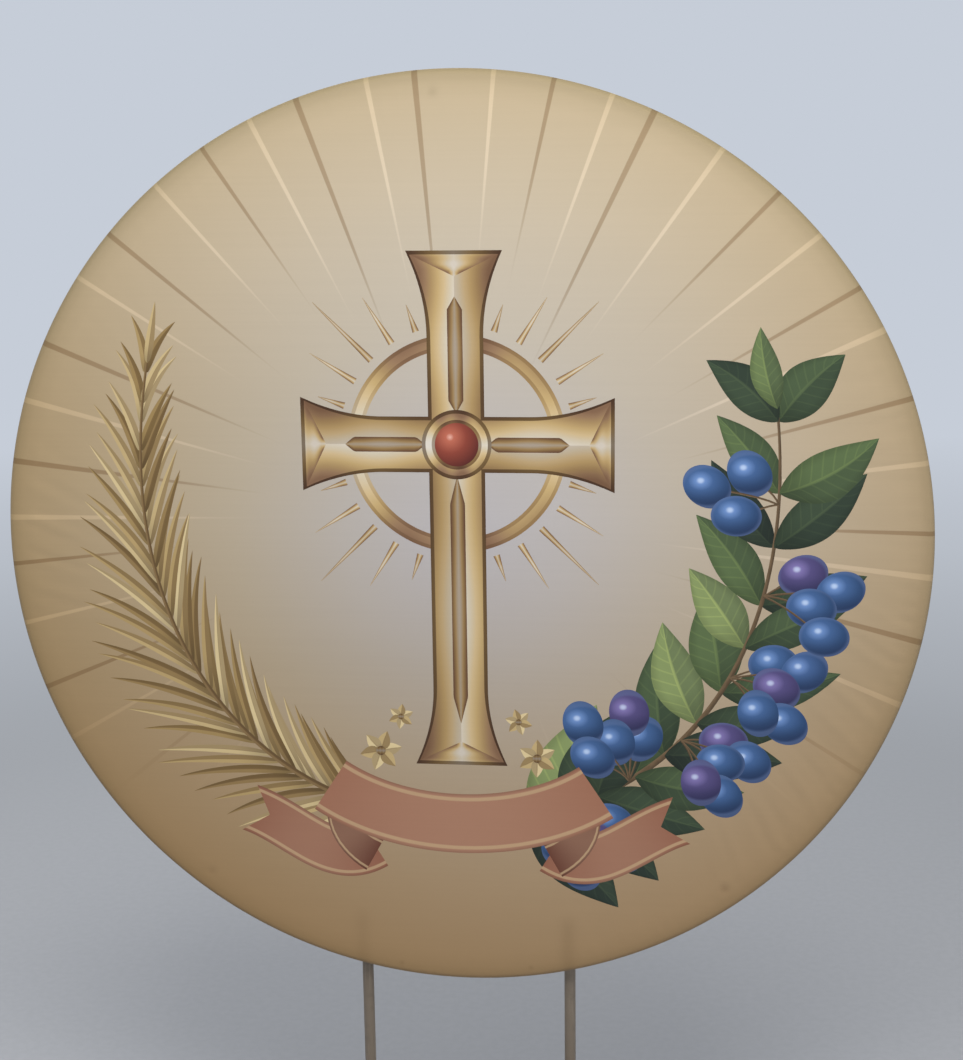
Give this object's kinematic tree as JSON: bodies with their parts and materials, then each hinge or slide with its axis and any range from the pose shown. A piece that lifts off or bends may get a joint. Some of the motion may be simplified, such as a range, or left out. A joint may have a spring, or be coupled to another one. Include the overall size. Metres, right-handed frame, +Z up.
{
  "type": "round backdrop panel on stand",
  "caption": "Large round event backdrop: printed stretch cloth over a tube hoop that slides and locks on a low two-legged floor stand.",
  "frame": {"origin": "on the floor, midway between the two feet", "axes": "+Z up, +X to the right seen from the front, the cloth faces -Y"},
  "size_m": [1.5026, 0.506, 1.9513],
  "materials": {
    "hoop_paint": "satin champagne powder coat",
    "stand_paint": "satin champagne powder coat",
    "zinc": "bright zinc plate",
    "cover_cloth": "dye-printed polyester knit, slight sheen",
    "elastic": "woven elastic tape",
    "knob_plastic": "moulded, fine spark texture",
    "plug_plastic": "moulded, satin",
    "pad_rubber": "matt moulded rubber"
  },
  "bodies": {
    "stand": {"upright_left": "stand_paint", "upright_right": "stand_paint", "foot_sleeve_left": "stand_paint", "foot_sleeve_right": "stand_paint", "foot_tube_left": "stand_paint", "foot_tube_right": "stand_paint", "crossbar": "stand_paint", "upright_cap_left": "plug_plastic", "upright_cap_right": "plug_plastic", "sleeve_bolts": "zinc", "sleeve_bolt_nuts": "zinc", "crossbar_inserts": "zinc", "crossbar_bolts": "zinc", "foot_end_plugs": "plug_plastic", "foot_pads": "pad_rubber", "pad_screws": "zinc"},
    "panel": {"hoop_lower_arc": "hoop_paint", "hoop_left_arc": "hoop_paint", "hoop_right_arc": "hoop_paint", "hoop_nuts": "hoop_paint", "panel_sleeve_left": "hoop_paint", "panel_sleeve_right": "hoop_paint", "standoff_plate_left": "hoop_paint", "standoff_plate_right": "hoop_paint", "sleeve_nuts": "hoop_paint", "ferrule_left": "zinc", "ferrule_right": "zinc", "ferrule_top": "zinc", "ferrule_rivets": "zinc", "cloth_cover": "cover_cloth", "hem_elastic": "elastic"},
    "lock_stud_left": {"lock_stud_left": "zinc"},
    "lock_knob_left": {"lock_knob_left": "knob_plastic"},
    "lock_stud_right": {"lock_stud_right": "zinc"},
    "lock_knob_right": {"lock_knob_right": "knob_plastic"},
    "thumbscrew_left": {"thumb_stud_left": "zinc", "thumb_head_left": "zinc"},
    "thumbscrew_right": {"thumb_stud_right": "zinc", "thumb_head_right": "zinc"},
    "thumbscrew_top": {"thumb_stud_top": "zinc", "thumb_head_top": "zinc"}
  },
  "joints": [
    {"name": "height_slide", "type": "slide", "parent": "stand", "child": "panel", "axis": [0, 0, 1], "range_m": [-0.33, 0.04]},
    {"name": "lock_left_travel", "type": "slide", "parent": "panel", "child": "lock_stud_left", "axis": [0, 1, 0], "range_m": [0, 0.0025]},
    {"name": "lock_left_turn", "type": "hinge", "parent": "lock_stud_left", "child": "lock_knob_left", "pos_m": [-0.175, 0, 0.53148], "axis": [0, 1, 0], "range_deg": [0, 720]},
    {"name": "lock_right_travel", "type": "slide", "parent": "panel", "child": "lock_stud_right", "axis": [0, 1, 0], "range_m": [0, 0.0025]},
    {"name": "lock_right_turn", "type": "hinge", "parent": "lock_stud_right", "child": "lock_knob_right", "pos_m": [0.175, 0, 0.53148], "axis": [0, 1, 0], "range_deg": [0, 720]},
    {"name": "thumb_left_turn", "type": "hinge", "parent": "panel", "child": "thumbscrew_left", "pos_m": [-0.44895, -0.0286, 0.61112], "axis": [0.6063, 0, 0.7952], "range_deg": [0, 720]},
    {"name": "thumb_right_turn", "type": "hinge", "parent": "panel", "child": "thumbscrew_right", "pos_m": [0.44895, -0.0286, 0.61112], "axis": [-0.6063, 0, 0.7952], "range_deg": [0, 720]},
    {"name": "thumb_top_turn", "type": "hinge", "parent": "panel", "child": "thumbscrew_top", "pos_m": [-0.02999, -0.0286, 1.93989], "axis": [0.0405, 0, -0.9992], "range_deg": [0, 720]}
  ],
  "couplings": [
    {"joint": "lock_left_travel", "follows": "lock_left_turn", "m_per_rad": 0.00019894},
    {"joint": "lock_right_travel", "follows": "lock_right_turn", "m_per_rad": 0.00019894}
  ]
}
